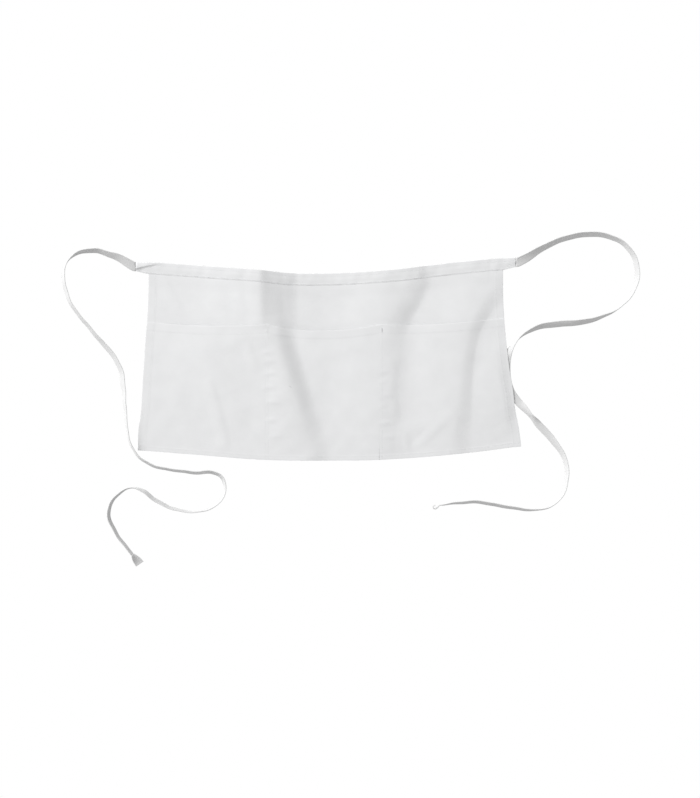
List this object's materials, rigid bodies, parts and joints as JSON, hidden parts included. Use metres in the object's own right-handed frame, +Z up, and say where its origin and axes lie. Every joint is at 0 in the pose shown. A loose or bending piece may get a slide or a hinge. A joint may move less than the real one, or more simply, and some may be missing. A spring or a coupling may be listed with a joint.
{
  "type": "waist apron with three pockets and two ties",
  "caption": "White cotton waist apron lying flat, with a row of open-topped pockets, a folded waistband and loose tape ties.",
  "frame": {"origin": "on the surface that the apron lies on, under the middle of its cloth, with the ties left out", "axes": "+X to the wearer's left across the width, +Y from the hem to the waistband, +Z up off the surface"},
  "size_m": [0.9203, 0.5333, 0.0134],
  "materials": {
    "cloth": "matt white twill",
    "band": "matt white twill, folded and stitched",
    "tape": "matt white stitched tape"
  },
  "bodies": {
    "root": {"apron_body": "cloth", "pocket_panel": "cloth", "waistband": "band", "tie_left": "tape", "tie_right": "tape", "tie_end_left": "tape", "tie_end_right": "tape"}
  },
  "joints": []
}
